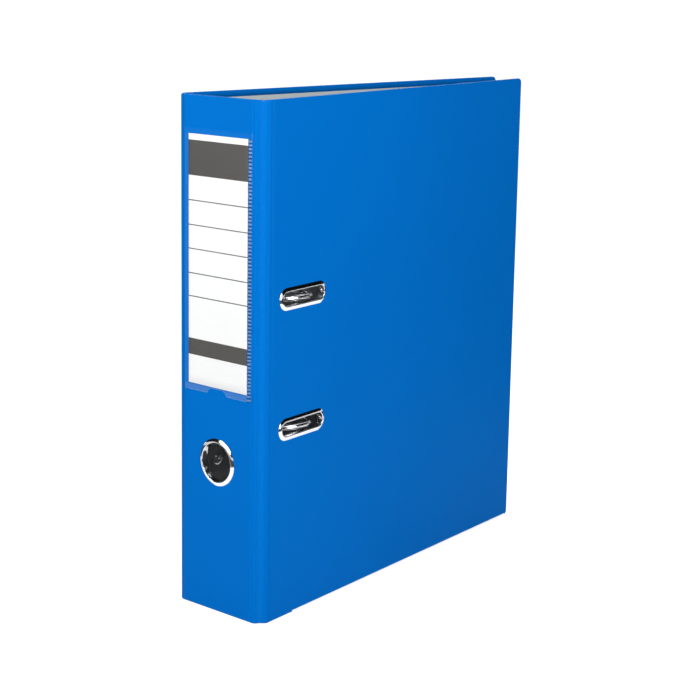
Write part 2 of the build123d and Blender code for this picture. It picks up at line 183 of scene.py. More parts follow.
# materials
def srgb(red, green, blue):
    # display values from 0 to 255 as the linear colour that the shader takes
    def linear(value):
        value /= 255
        return value / 12.92 if value <= 0.04045 else ((value + 0.055) / 1.055) ** 2.4
    return (linear(red), linear(green), linear(blue), 1)


class Shader:
    # a short way to place nodes and join them
    def __init__(self, tree):
        self.tree = tree

    def add(self, kind, inputs=None, **settings):
        node = self.tree.nodes.new(kind)
        for key, value in settings.items():
            setattr(node, key, value)
        for key, value in (inputs or {}).items():
            self.put(node.inputs[key], value)
        return node

    def put(self, socket, value):
        if isinstance(value, bpy.types.NodeSocket):
            self.tree.links.new(value, socket)
        elif isinstance(value, bpy.types.Node):
            self.tree.links.new(value.outputs[0], socket)
        else:
            socket.default_value = value

    def math(self, operation, *values, clamp=False):
        node = self.add("ShaderNodeMath", operation=operation, use_clamp=clamp)
        for socket, value in zip(node.inputs, values):
            self.put(socket, value)
        return node.outputs[0]

    def plus(self, first, second):
        return self.math("ADD", first, second)

    def times(self, first, second):
        return self.math("MULTIPLY", first, second)

    def mixColour(self, factor, first, second):
        node = self.add("ShaderNodeMix", data_type="RGBA")
        self.put(node.inputs["Factor"], factor)
        self.put(node.inputs[6], first)
        self.put(node.inputs[7], second)
        return node.outputs[2]

    def spread(self, value, low, high):
        # maps a mask from 0 to 1 onto low to high
        node = self.add("ShaderNodeMapRange", {"To Min": low, "To Max": high})
        self.put(node.inputs["Value"], value)
        return node.outputs[0]

    def noise(self, place, scale, detail=2.0, roughness=0.5):
        node = self.add("ShaderNodeTexNoise", {"Vector": place, "Scale": scale, "Detail": detail,
                                               "Roughness": roughness})
        return node.outputs[0]

    def attribute(self, name):
        return self.add("ShaderNodeAttribute", attribute_name=name).outputs["Fac"]

    def seenRays(self):
        # 1 for what the camera, gloss and clear film see, 0 for what lights the object
        rays = self.add("ShaderNodeLightPath").outputs
        both = self.plus(rays["Is Camera Ray"], rays["Is Glossy Ray"])
        return self.math("ADD", both, rays["Is Transmission Ray"], clamp=True)


def newGroup(name, inputs, outputs):
    # a shader node group with named sockets: an input with no default is a place, the rest are numbers
    group = bpy.data.node_groups.new(name, "ShaderNodeTree")
    for label, default in inputs.items():
        kind = "NodeSocketVector" if default is None else "NodeSocketFloat"
        socket = group.interface.new_socket(label, in_out="INPUT", socket_type=kind)
        if default is not None:
            socket.default_value = default
    for label in outputs:
        group.interface.new_socket(label, in_out="OUTPUT", socket_type="NodeSocketFloat")
    shader = Shader(group)
    return group, shader, shader.add("NodeGroupInput").outputs, shader.add("NodeGroupOutput").inputs


def makeGrainGroup():
    # fine even grain as a height, and broad faint clouds as a mask
    inputs = {"Place": None, "Grain Scale": 2400.0, "Cloud Scale": 9.0}
    group, s, given, out = newGroup("surfaceGrain", inputs, ("Height", "Clouds"))
    fine = s.noise(given["Place"], given["Grain Scale"], roughness=0.55)
    cells = s.add("ShaderNodeTexVoronoi", {"Vector": given["Place"], "Scale": given["Grain Scale"]},
                  feature="SMOOTH_F1")
    cellShare = 0.6
    s.put(out["Height"], s.plus(fine, s.times(cells.outputs[0], cellShare)))
    s.put(out["Clouds"], s.noise(given["Place"], given["Cloud Scale"], detail=3.0))
    return group


def makeWearGroup():
    # rubbed edges: an edge mask broken up by noise, and sparse long scratches
    inputs = {"Place": None, "Edge": 0.0, "Amount": 0.5, "Scratch Scale": 60.0}
    group, s, given, out = newGroup("edgeWear", inputs, ("Rubbed", "Scratches"))
    spots = s.spread(s.noise(given["Place"], scale=420.0, detail=4.0), low=-0.6, high=1.6)
    rubbed = s.times(s.math("MULTIPLY", spots, given["Edge"], clamp=True), given["Amount"])
    s.put(out["Rubbed"], rubbed)
    stretched = s.add("ShaderNodeMapping", {"Vector": given["Place"], "Rotation": (0.4, 0.9, 0.3),
                                            "Scale": (1.0, 22.0, 22.0)})
    lines = s.noise(stretched, given["Scratch Scale"], roughness=0.6)
    thin = s.add("ShaderNodeMapRange", {"Value": lines, "From Min": 0.66, "From Max": 0.78})
    s.put(out["Scratches"], thin.outputs[0])
    return group


grainGroup = makeGrainGroup()
wearGroup = makeWearGroup()


def newMaterial(name, base, roughness, metallic=0.0):
    material = bpy.data.materials.new(name)
    material.use_nodes = True
    shader = Shader(material.node_tree)
    bsdf = material.node_tree.nodes["Principled BSDF"]
    bsdf.inputs["Base Color"].default_value = base
    bsdf.inputs["Roughness"].default_value = roughness
    bsdf.inputs["Metallic"].default_value = metallic
    place = shader.add("ShaderNodeTexCoord").outputs["Object"]
    return material, shader, bsdf.inputs, place


def useGrain(shader, place, grainScale, cloudScale):
    node = shader.add("ShaderNodeGroup", node_tree=grainGroup)
    shader.put(node.inputs["Place"], place)
    node.inputs["Grain Scale"].default_value = grainScale
    node.inputs["Cloud Scale"].default_value = cloudScale
    return node.outputs["Height"], node.outputs["Clouds"]


def useWear(shader, place, edge, amount, scratchScale=60.0):
    node = shader.add("ShaderNodeGroup", node_tree=wearGroup)
    shader.put(node.inputs["Place"], place)
    shader.put(node.inputs["Edge"], edge)
    node.inputs["Amount"].default_value = amount
    node.inputs["Scratch Scale"].default_value = scratchScale
    return node.outputs["Rubbed"], node.outputs["Scratches"]


def addBump(shader, sockets, height, strength, distance):
    bump = shader.add("ShaderNodeBump", {"Height": height, "Strength": strength,
                                         "Distance": distance * mm})
    shader.put(sockets["Normal"], bump.outputs[0])


def toned(colour, share):
    # the colour made darker or paler by a share
    return tuple(min(1, channel * share) for channel in colour[:3]) + (1,)


foilLook = {"colour": srgb(0, 112, 203), "rubbedColour": srgb(20, 124, 210), "roughness": 0.42,
            "specular": 0.018, "grainScale": 2600.0, "cloudScale": 7.0, "deep": 0.94, "pale": 1.06,
            "roughnessSpread": 0.05, "scratchGloss": -0.06, "bump": 0.22, "edgeAmount": 0.5}


def makeFoil():
    # satin foil: even fine grain, faint clouds in the colour, edges rubbed a little paler
    material, s, sockets, place = newMaterial("coverFoil", foilLook["colour"], foilLook["roughness"])
    height, clouds = useGrain(s, place, foilLook["grainScale"], foilLook["cloudScale"])
    rubbed, scratches = useWear(s, place, s.attribute("edgeMask"), foilLook["edgeAmount"])
    colour = s.mixColour(clouds, toned(foilLook["colour"], foilLook["deep"]),
                         toned(foilLook["colour"], foilLook["pale"]))
    s.put(sockets["Base Color"], s.mixColour(rubbed, colour, foilLook["rubbedColour"]))
    rough, either = foilLook["roughness"], foilLook["roughnessSpread"]
    s.put(sockets["Roughness"], s.plus(s.spread(clouds, rough - either, rough + either),
                                       s.times(scratches, foilLook["scratchGloss"])))
    sockets["Specular IOR Level"].default_value = foilLook["specular"]
    addBump(s, sockets, height, foilLook["bump"], distance=0.03)
    return material


paperLook = {"cloudScale": 30.0, "stretch": (1.0, 1.0, 5.0), "strandShare": 0.35, "smoother": 0.06,
             "rougher": 0.04, "specular": 0.3, "bump": 0.25}


def makePaper(name, colour, dark, roughness, fibreScale):
    # matt paper: soft fibres in colour and relief
    material, s, sockets, place = newMaterial(name, colour, roughness)
    height, clouds = useGrain(s, place, fibreScale, paperLook["cloudScale"])
    fibres = s.add("ShaderNodeMapping", {"Vector": place, "Scale": paperLook["stretch"]})
    strands = s.noise(fibres, fibreScale * paperLook["strandShare"], detail=5.0)
    mask = s.times(strands, s.spread(clouds, low=0.5, high=1.0))
    s.put(sockets["Base Color"], s.mixColour(mask, colour, dark))
    s.put(sockets["Roughness"], s.spread(mask, roughness - paperLook["smoother"],
                                         roughness + paperLook["rougher"]))
    sockets["Specular IOR Level"].default_value = paperLook["specular"]
    addBump(s, sockets, s.plus(height, strands), paperLook["bump"], distance=0.04)
    return material


metalLook = {"grainScale": 1500.0, "cloudScale": 45.0, "brushScale": 90.0, "dull": 0.86, "bright": 1.1,
             "scratchDepth": -0.5}


def makeMetal(name, colour, roughness, spread, brush, bump, rubAmount):
    # plated metal: brushed or polished, with fine scratches and a faint cloudy sheen
    material, s, sockets, place = newMaterial(name, colour, roughness, 1.0)
    clouds = useGrain(s, place, metalLook["grainScale"], metalLook["cloudScale"])[1]
    rubbed, scratches = useWear(s, place, edge=1.0, amount=rubAmount)
    lined = s.add("ShaderNodeMapping", {"Vector": place, "Scale": (brush, brush, 1.0)})
    lines = s.noise(lined, metalLook["brushScale"], detail=4.0, roughness=0.65)
    tone = s.times(s.plus(clouds, lines), 0.5)  # the mean of the two
    base = s.mixColour(tone, toned(colour, metalLook["dull"]), colour)
    s.put(sockets["Base Color"], s.mixColour(rubbed, base, toned(colour, metalLook["bright"])))
    rough = s.plus(s.spread(tone, roughness - spread, roughness + spread),
                   s.times(scratches, spread))
    s.put(sockets["Roughness"], rough)
    cut = s.times(scratches, metalLook["scratchDepth"])
    addBump(s, sockets, s.plus(lines, cut), bump, distance=0.02)
    return material


nylonLook = {"colour": srgb(38, 38, 40), "dark": srgb(30, 30, 32), "pale": srgb(46, 46, 48),
             "scuff": srgb(84, 84, 86), "roughness": 0.45, "grainScale": 3200.0, "cloudScale": 300.0}


def makePlastic():
    # moulded nylon: slight eggshell grain with paler scuffs
    look = nylonLook
    material, s, sockets, place = newMaterial("rollerNylon", look["colour"], look["roughness"])
    height, clouds = useGrain(s, place, look["grainScale"], look["cloudScale"])
    rubbed = useWear(s, place, edge=1.0, amount=0.25, scratchScale=200.0)[0]
    colour = s.mixColour(clouds, look["dark"], look["pale"])
    s.put(sockets["Base Color"], s.mixColour(rubbed, colour, look["scuff"]))
    s.put(sockets["Roughness"], s.spread(clouds, low=0.38, high=0.52))
    addBump(s, sockets, height, strength=0.3, distance=0.02)
    return material


coverFoil = makeFoil()
liningPaper = makePaper("liningPaper", srgb(210, 215, 214), srgb(188, 194, 195),
                        roughness=0.85, fibreScale=1800.0)
greyBoard = makePaper("greyBoard", srgb(150, 146, 138), srgb(112, 108, 100),
                      roughness=0.92, fibreScale=900.0)
brightNickel = makeMetal("brightNickel", (0.86, 0.86, 0.88, 1), roughness=0.10, spread=0.04,
                         brush=1.0, bump=0.03, rubAmount=0.1)
zincSteel = makeMetal("zincSteel", (0.66, 0.67, 0.69, 1), roughness=0.28, spread=0.08,
                      brush=9.0, bump=0.12, rubAmount=0.3)
rollerNylon = makePlastic()
print("materials made")


# label papers and film
labelLook = {"low": 142.5, "high": 295.0, "centre": 32.0, "width": 50.0,
             "paper": srgb(252, 252, 252), "shadeOfPaper": 0.97, "band": srgb(76, 73, 69),
             "rule": srgb(92, 92, 90), "ruleHeight": 0.65, "roughness": 0.5, "grainScale": 1500.0,
             # bands and rules as shares of the card's height, from its top
             "bands": ((0.0243, 0.1635), (0.8164, 0.883)),
             "rules": (0.262, 0.36, 0.455, 0.553, 0.646)}


def makeLabelPaper():
    # card printed with plain bands and thin rules, set by height on the card
    material, s, sockets, place = newMaterial("labelPaper", labelLook["paper"], labelLook["roughness"])
    height = labelLook["high"] - labelLook["low"]
    z = s.add("ShaderNodeSeparateXYZ", {"Vector": place}).outputs["Z"]
    down = s.add("ShaderNodeMapRange", {"Value": z, "From Min": labelLook["high"] * mm,
                                        "From Max": labelLook["low"] * mm})
    half = labelLook["ruleHeight"] / height / 2
    marks = [((a + b) / 2, (b - a) / 2, labelLook["band"]) for a, b in labelLook["bands"]]
    marks += [(at, half, labelLook["rule"]) for at in labelLook["rules"]]
    grain, clouds = useGrain(s, place, labelLook["grainScale"], cloudScale=25.0)
    colour = s.mixColour(clouds, toned(labelLook["paper"], labelLook["shadeOfPaper"]),
                         labelLook["paper"])
    for middle, reach, ink in marks:
        colour = s.mixColour(s.math("COMPARE", down.outputs[0], middle, reach), colour, ink)
    s.put(sockets["Base Color"], colour)
    s.put(sockets["Roughness"], s.spread(grain, low=0.4, high=0.6))
    addBump(s, sockets, grain, strength=0.1, distance=0.02)
    return material


filmLook = {"tint": srgb(196, 226, 242), "paintedGrooveShade": srgb(0, 40, 100), "haze": 0.004, "sheen": 0.02,
            "weldHazeAndShade": 0.07, "cutEdgeHighlight": 0.16, "roughness": 0.12, "smoother": 0.04, "rougher": 0.06,
            "ior": 1.46}


def makeFilm():
    # clear film: a faint haze, more of it where it is welded, painted shade in the weld grooves and beside the
    # card, a painted highlight along the cut edges, and a painted sheen at a low angle
    material, s, sockets, place = newMaterial("clearFilm", filmLook["tint"], filmLook["roughness"])
    clouds = useGrain(s, place, grainScale=900.0, cloudScale=40.0)[1]
    # painted shade: the dark groove colour shows between the weld ribs and beside the card, where the rib mask is
    # low
    colour = s.mixColour(s.attribute("ribGrooveShadeMask"), filmLook["paintedGrooveShade"], filmLook["tint"])
    s.put(sockets["Base Color"], colour)
    facing = s.add("ShaderNodeLayerWeight", {"Blend": 0.12}).outputs["Facing"]
    haze = s.times(s.spread(clouds, low=0.8, high=1.2), filmLook["haze"])
    # the weld mask adds haze and the painted shadow beside the card; the edge mask adds a painted highlight along
    # the cut edges
    for mask, share in ((s.attribute("weldHazeAndShadeMask"), "weldHazeAndShade"), (s.attribute("edgeMask"), "cutEdgeHighlight")):
        haze = s.plus(haze, s.times(mask, filmLook[share]))
    # painted sheen: the pale tint grows more opaque at a low angle
    gloss = s.times(facing, filmLook["sheen"])
    s.put(sockets["Alpha"], s.math("ADD", haze, gloss, clamp=True))
    s.put(sockets["Roughness"], s.spread(clouds, filmLook["roughness"] - filmLook["smoother"],
                                         filmLook["roughness"] + filmLook["rougher"]))
    sockets["IOR"].default_value = filmLook["ior"]
    addBump(s, sockets, clouds, strength=0.2, distance=0.1)
    return material


labelPaper = makeLabelPaper()
clearFilm = makeFilm()

# foil skins: one sheet per panel, wrapped over its free edges and turned in
skin = {"low": 0.4, "high": 318.0, "reach": 286.0, "corner": 3.0, "thickness": 2.6, "wall": 0.28,
        "outerRound": 0.8, "innerRound": 0.5, "straight": 0.25, "border": 6.0, "turnIn": 4.0,
        "cornerRun": 4.5, "crease": 1.4, "stripDip": 0.28, "rubDepth": 0.35,
        "coverStep": 6.0, "spineStep": 3.0, "stripStep": 0.6}
slots = {"centre": 33.395, "length": 41.2, "height": 8.6, "heights": (119.0, 199.0)}
finger = {"centre": 31.5, "height": 96.0, "diameter": 24.5}
holeMargin = 1.3       # foil's hole beyond the eyelet's opening, hidden under the rim
holeFrame = 6.0        # rectangle that the mesh lays round a hole
holeRings = np.array([0, 0.3, 0.65, 1.0])  # rings of the mesh from a hole to its rectangle
nearly = 1e-6


def edgeProfile(full=True):
    # inset and depth from the flat face round the edge: a straight, two quarter circles, the turn-in
    angle = np.linspace(0, math.pi / 2, 8)
    outer, inner, depth = skin["outerRound"], skin["innerRound"], skin["thickness"]
    straight = skin["straight"]
    inset = [[skin["border"], outer + straight], outer * (1 - np.sin(angle)),
             inner * (1 - np.cos(angle))]
    down = [[0, 0], outer * (1 - np.cos(angle)), depth - inner * (1 - np.sin(angle))]
    if full:
        inset.append([inner + straight, skin["turnIn"]])
        down.append([depth, depth])
    return np.concatenate(inset), np.concatenate(down)


def blockLines(start, end, breaks, step):
    # grid lines from start to end that pass through every break
    stops = [start, *sorted(breaks), end]
    lines = [np.linspace(a, b, max(2, int(round((b - a) / step)) + 1))[:-1]
             for a, b in zip(stops, stops[1:])]
    return np.concatenate([*lines, [end]])


def facePatches(xs, zs, holes):
    # flat grid in x and z, with a ring of quads from a rectangle to each round-ended hole
    keep = np.ones((len(xs) - 1, len(zs) - 1), bool)
    patches = []
    for hole in holes:
        i0, i1 = np.searchsorted(xs, [hole["x0"] - nearly, hole["x1"] - nearly])
        j0, j1 = np.searchsorted(zs, [hole["z0"] - nearly, hole["z1"] - nearly])
        keep[i0:i1, j0:j1] = False
        loop = np.concatenate([joined(xs[i0:i1], zs[j0]), joined(xs[i1], zs[j0:j1]),
                               joined(xs[i1:i0:-1], zs[j1]), joined(xs[i0], zs[j1:j0:-1])])
        # the nearest point of the hole's middle line, then out by its radius
        nearest = np.clip(loop[:, 0], hole["x"] - hole["run"], hole["x"] + hole["run"])
        middle = joined(nearest, hole["z"])
        away = loop - middle
        ring = middle + away / np.linalg.norm(away, axis=1, keepdims=True) * hole["radius"]
        rings = ring + (loop - ring) * holeRings[:, None, None]
        patches.append(gridPatch(joined(rings[..., 0], 0.0, rings[..., 1]), wrapColumns=True))
    points, quads = gridPatch(joined(xs[:, None], 0.0, zs))
    patches.append((points, quads[keep.reshape(-1)]))
    return patches


def holeAt(x, z, length, height):
    radius = height / 2 + holeMargin
    run = (length - height) / 2
    return {"x": x, "z": z, "run": run, "radius": radius,
            "x0": x - run - radius - holeFrame, "x1": x + run + radius + holeFrame,
            "z0": z - radius - holeFrame, "z1": z + radius + holeFrame}


def linesFor(x0, x1, holes, step):
    low, high = skin["low"] + skin["border"], skin["high"] - skin["border"]
    xs = blockLines(x0, x1, sorted({h[key] for h in holes for key in ("x0", "x1")}), step)
    zs = blockLines(low, high, sorted({h[key] for h in holes for key in ("z0", "z1")}), step)
    return xs, zs


def coverSheet(holes):
    # face, then the edge profile carried along the bottom, round corners, the fore-edge and the top
    corner, reach, run = skin["corner"], skin["reach"], skin["cornerRun"]
    low, high = skin["low"], skin["high"]
    xs, zs = linesFor(skin["crease"], reach - skin["border"], holes, skin["coverStep"])
    inset, depth = edgeProfile()
    runX = np.append(xs, [reach - run, reach - corner])
    runZ = np.concatenate([[low + corner, low + run], zs, [high - run, high - corner]])
    turn = np.linspace(0, math.pi / 2, 9)[1:-1]
    coreX = np.concatenate([runX, np.full(2 * len(turn) + len(runZ), reach - corner), runX[::-1]])
    coreZ = np.concatenate([np.full(len(runX) + len(turn), low + corner), runZ,
                            np.full(len(turn) + len(runX), high - corner)])
    outX = np.concatenate([0 * runX, np.sin(turn), 0 * runZ + 1, np.cos(turn), 0 * runX])
    outZ = np.concatenate([0 * runX - 1, -np.cos(turn), 0 * runZ, np.sin(turn), 0 * runX + 1])
    i = inset[None, :]
    edgeX = np.where(i <= corner, coreX[:, None] + outX[:, None] * (corner - i),
                     np.minimum(coreX[:, None], reach - i))
    edgeZ = np.where(i <= corner, coreZ[:, None] + outZ[:, None] * (corner - i),
                     np.clip(coreZ[:, None], low + i, high - i))
    return facePatches(xs, zs, holes) + [gridPatch(joined(edgeX, depth, edgeZ))]


def innerSheet(x0, x1, holes, step, dip=0.0):
    # face and the edge profile along its bottom and top; dip hollows the face between its creases
    xs, zs = linesFor(x0, x1, holes, step)
    inset, depth = edgeProfile()
    patches = facePatches(xs, zs, holes)
    for edge, sign in ((skin["low"], 1), (skin["high"], -1)):
        patches.append(gridPatch(joined(xs[:, None], depth, edge + sign * inset)))
    hollowed = []
    for points, quads in patches:
        points = points.copy()
        share = np.sin(math.pi * (points[:, 0] - x0) / (x1 - x0)) ** 2
        points[:, 1] += dip * share * (1 - points[:, 1] / skin["thickness"])
        hollowed.append((points, quads))
    return hollowed


def rubbedAt(depth):
    # 1 where a sheet turns over its edge, 0 on its flats
    return smoothStep(1 - np.abs(depth - skin["rubDepth"]) / skin["rubDepth"])


def addSkin(name, panelName, body, patches, replaced):
    mask = rubbedAt(np.concatenate([points[:, 1] for points, quads in patches]))
    placed = [(onPanel(panelName, points), quads) for points, quads in patches]
    mesh = buildMesh(name, placed, outwardOf(panelName), attribute=("edgeMask", mask))
    piece = addPiece(name, mesh, [coverFoil], skin["wall"])
    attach(piece, body)
    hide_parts(*replaced)


slotHoles = [holeAt(slots["centre"], z, slots["length"], slots["height"]) for z in slots["heights"]]
fingerHole = holeAt(finger["centre"], finger["height"], finger["diameter"], finger["diameter"])
addSkin("front_cover_skin", "front", "front_cover", coverSheet(slotHoles), ["front_foil"])
addSkin("back_cover_skin", "back", "back_cover", coverSheet([]), ["back_foil"])
spineEnds = (skin["crease"], panels["spine"]["length"] - skin["crease"])
addSkin("spine_skin", "spine", "spine", innerSheet(*spineEnds, [fingerHole], skin["spineStep"]),
        ["spine_foil"])
for panelName, body, node in (("backStrip", "back_hinge", "back_strip_foil"),
                              ("frontStrip", "front_hinge", "front_strip_foil")):
    ends = (skin["crease"], panels[panelName]["length"] - skin["crease"])
    sheet = innerSheet(*ends, [], skin["stripStep"], skin["stripDip"])
    addSkin(body + "_skin", panelName, body, sheet, [node])
print("foil skins made")


# hinge folds: foil outside and paper inside, bent round each crease
foldPlaces = (
    ("back_fold", "back", "backStrip", "back_cover", "back_hinge"),
    ("spine_fold", "backStrip", "spine", "back_hinge", "spine"),
    ("front_fold", "spine", "frontStrip", "spine", "front_hinge"),
    ("front_cover_fold", "frontStrip", "front", "front_hinge", "front_cover"),
)
fold = {"steps": 10, "liningReach": 1.5, "liningInset": 0.5, "liningRows": 12, "foilDepth": 0.3,
        "middle": 159.0, "outerStops": -4}  # outerStops leaves the profile's last points off


def foldFrame(jointName, before, reach):
    # where a fold starts on the panel before the crease, that panel's inward side, the radius that
    # meets both faces at reach from the crease, and the angle turned
    crease = creaseAt(jointName)
    along = -panels["back"]["along"] if before == "back" else panels[before]["along"]
    inward = turned(along, 90)
    turn = math.radians(joints[jointName]["range_deg"][1])
    return crease - along * reach, inward, reach / math.tan(turn / 2), turn


def foldPoints(jointName, before, reach, depth, height, steps=fold["steps"]):
    # an arc round the fold's centre, at each depth, carried up the height
    start, inward, radius, turn = foldFrame(jointName, before, reach)
    centre = start + inward * radius
    angle = np.linspace(0, turn, steps)[:, None]
    out = -inward
    direction = joined(out[0] * np.cos(angle) - out[1] * np.sin(angle),
                       out[0] * np.sin(angle) + out[1] * np.cos(angle))
    plan = centre + direction * (radius - depth)[None, :, None]
    return joined(plan[..., 0], plan[..., 1], height) * mm


def addOuterFold(jointName, before, after, bodyBefore, bodyAfter):
    # foil bent round the crease, rounded at its bottom and top as the panels are
    inset, depth = (line[:fold["outerStops"]] for line in edgeProfile(full=False))
    height = np.concatenate([skin["low"] + inset[::-1], skin["high"] - inset])
    depths = np.concatenate([depth[::-1], depth])
    points = foldPoints(jointName, before, skin["crease"], depths, height)
    mask = rubbedAt(np.broadcast_to(depths, points.shape[:2])).reshape(-1)
    name = jointName + "_foil"
    mesh = buildMesh(name, [gridPatch(points)], outwardOf(after), attribute=("edgeMask", mask))
    piece = addPiece(name, mesh, [coverFoil], skin["wall"])
    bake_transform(piece)


def addInnerFold(jointName, before, after, bodyBefore, bodyAfter):
    # a thin strip at the lining's depth; its ends are foil, as far as the turn-in reaches
    reach, inset = fold["liningReach"], fold["liningInset"]
    ends = [skin["low"] + inset, skin["low"] + skin["turnIn"]]
    tops = [skin["high"] - skin["turnIn"], skin["high"] - inset]
    height = np.concatenate([ends, np.linspace(ends[1], tops[0], fold["liningRows"])[1:-1], tops])
    depth = np.full(len(height), skin["thickness"])
    points = foldPoints(jointName, before, reach, depth, height)
    name = jointName + "_lining"
    mesh = buildMesh(name, [gridPatch(points)], -outwardOf(after))
    centres = np.empty(3 * len(mesh.polygons), np.float32)
    mesh.polygons.foreach_get("center", centres)
    z = centres[2::3] / mm
    mesh.polygons.foreach_set("material_index", ((z < ends[1]) | (z > tops[0])).astype(np.int32))
    piece = addPiece(name, mesh, [liningPaper, coverFoil], skin["wall"])
    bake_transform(piece)


for foldPlace in foldPlaces:
    addOuterFold(*foldPlace)
    addInnerFold(*foldPlace)
print("hinge folds made")


# eyelets: a rolled rim carried round each opening
eyelet = {"depth": 3.5, "crown": 0.9, "peak": 0.42, "fall": 0.55, "steepen": 3.0,
          "slotRim": 2.6, "fingerRim": 2.5, "waist": 1.6, "rimWall": 0.12, "under": 0.03,
          # the tube's outside and its rolled lip, as (offset, depth)
          "lip": ((0.7, 0.03), (0.5, 0.15), (0.5, 2.9), (0.8, 3.12), (0.82, 3.3), (0.6, 3.5),
                  (0.25, 3.5), (0.05, 3.47))}


def eyeletProfile(rim):
    # offset from the opening and depth: up the tube, a quarter roll to the peak, a long slope that
    # steepens to the foil, back under it, down the tube and round the lip
    crown, peak = eyelet["crown"], eyelet["peak"]
    roll = np.linspace(0, math.pi / 2, 9)
    slope = np.linspace(0, 1, 14)[1:]
    offset = [[0, 0, 0], peak * (1 - np.cos(roll)), peak + (rim - peak) * slope]
    depth = [[eyelet["depth"] - 0.1, eyelet["waist"], 0.0], -crown + peak - peak * np.sin(roll),
             -crown * (1 - slope ** eyelet["steepen"]) * (1 - eyelet["fall"] * slope)]
    lipOffset, lipDepth = zip((rim - eyelet["rimWall"], eyelet["under"]), *eyelet["lip"])
    offset.append(lipOffset)
    depth.append(lipDepth)
    return np.concatenate(offset), np.concatenate(depth)


def outline(x, z, length, height, steps):
    # round-ended outline: points on its middle line and the direction out of it
    angle = np.linspace(0, 2 * math.pi, steps, endpoint=False) + math.pi / steps
    out = joined(np.cos(angle), np.sin(angle))
    run = (length - height) / 2
    return joined(x + np.where(out[:, 0] > 0, run, -run), z), out


def addEyelet(name, panelName, body, x, z, length, height, rim, steps):
    middle, out = outline(x, z, length, height, steps)
    offset, depth = eyeletProfile(rim)
    ring = middle[:, None] + out[:, None] * (height / 2 + offset)[None, :, None]
    points = joined(ring[..., 0], depth, ring[..., 1])
    patch = gridPatch(onPanel(panelName, points), wrapRows=True, wrapColumns=True)
    mesh = buildMesh(name, [patch], sharpAngle=50)
    piece = addPiece(name + "_rim", mesh, [brightNickel])
    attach(piece, body)
    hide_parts(name)


for name, z in zip(("lower_slot_eyelet", "upper_slot_eyelet"), slots["heights"]):
    addEyelet(name, "front", "front_cover", slots["centre"], z, slots["length"], slots["height"],
              eyelet["slotRim"], 64)
addEyelet("finger_ring", "spine", "spine", finger["centre"], finger["height"], finger["diameter"],
          finger["diameter"], eyelet["fingerRim"], 96)
print("eyelets made")


# label card and its welded pocket
card = {"wall": 0.3, "back": 0.1, "bow": 0.05, "round": 0.1, "edgeDrop": 0.08, "columns": 25,
        "rows": 30}
pocket = {"border": 3.4, "foot": 4.0, "film": 0.18, "gap": 0.03, "lift": 0.48, "rows": 521,
          "notchWidth": 17.0, "notchRise": 3.3, "shoulder": 4.2, "roundOff": 2.2,
          "footHaze": 0.8, "footFrom": 0.2, "leftHaze": 0.14, "rightHaze": 3.1,
          # the welds: their ribs, and where they start and fade from the card and the cut edge
          "weldPitch": 2.2, "weldDepth": 0.1, "ribTone": 0.85, "ribFrom": 0.3, "ribFade": 0.4,
          "weldFrom": 0.5, "weldTo": 0.25, "weldFade": 0.3, "liftFrom": 0.7, "liftRun": 1.4,
          # painted shadow: a dark line beside the card, its strength at the right and left and its width
          "shade": 1.7, "leftShade": 0.85, "shadeWidth": 0.7,
          # painted highlight along the cut edges, and a painted glint at the corner by the foot
          "cutFoot": 0.4, "cutSide": 0.35, "cutRight": 0.5, "cutLeft": 0.2, "nib": 0.9, "nibGlint": 1.6}


def addLabelCard():
    # thin closed slab with rounded edges, bowed very slightly across
    half, inset = labelLook["width"] / 2, card["round"]
    low, high = labelLook["low"], labelLook["high"]
    x = np.concatenate([[-half], np.linspace(-half + inset, half - inset, card["columns"]), [half]])
    z = np.concatenate([[low], np.linspace(low + inset, high - inset, card["rows"]), [high]])
    gx, gz = np.meshgrid(x, z, indexing="ij")
    bow = card["bow"] * (1 - (gx / half) ** 2)
    onEdge = (np.abs(gx) >= half) | (gz <= low) | (gz >= high)
    patches = []
    for depth, sign in ((card["back"] + card["wall"], 1), (card["back"], -1)):
        y = -depth - bow * (sign > 0) + sign * onEdge * card["edgeDrop"]
        points = joined(labelLook["centre"] + gx, y, gz)
        patches.append(gridPatch(onPanel("spine", points)))
    front = patches[0][0].reshape(*gx.shape, 3)
    back = patches[1][0].reshape(*gx.shape, 3)
    for side in (lambda a: a[0], lambda a: a[-1], lambda a: a[:, 0], lambda a: a[:, -1]):
        patches.append(gridPatch(np.stack([side(front), side(back)])))
    mesh = buildMesh("label_card_printed", patches, sharpAngle=60)
    piece = addPiece("label_card_printed", mesh, [labelPaper])
    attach(piece, "spine")
    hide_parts("label_card")


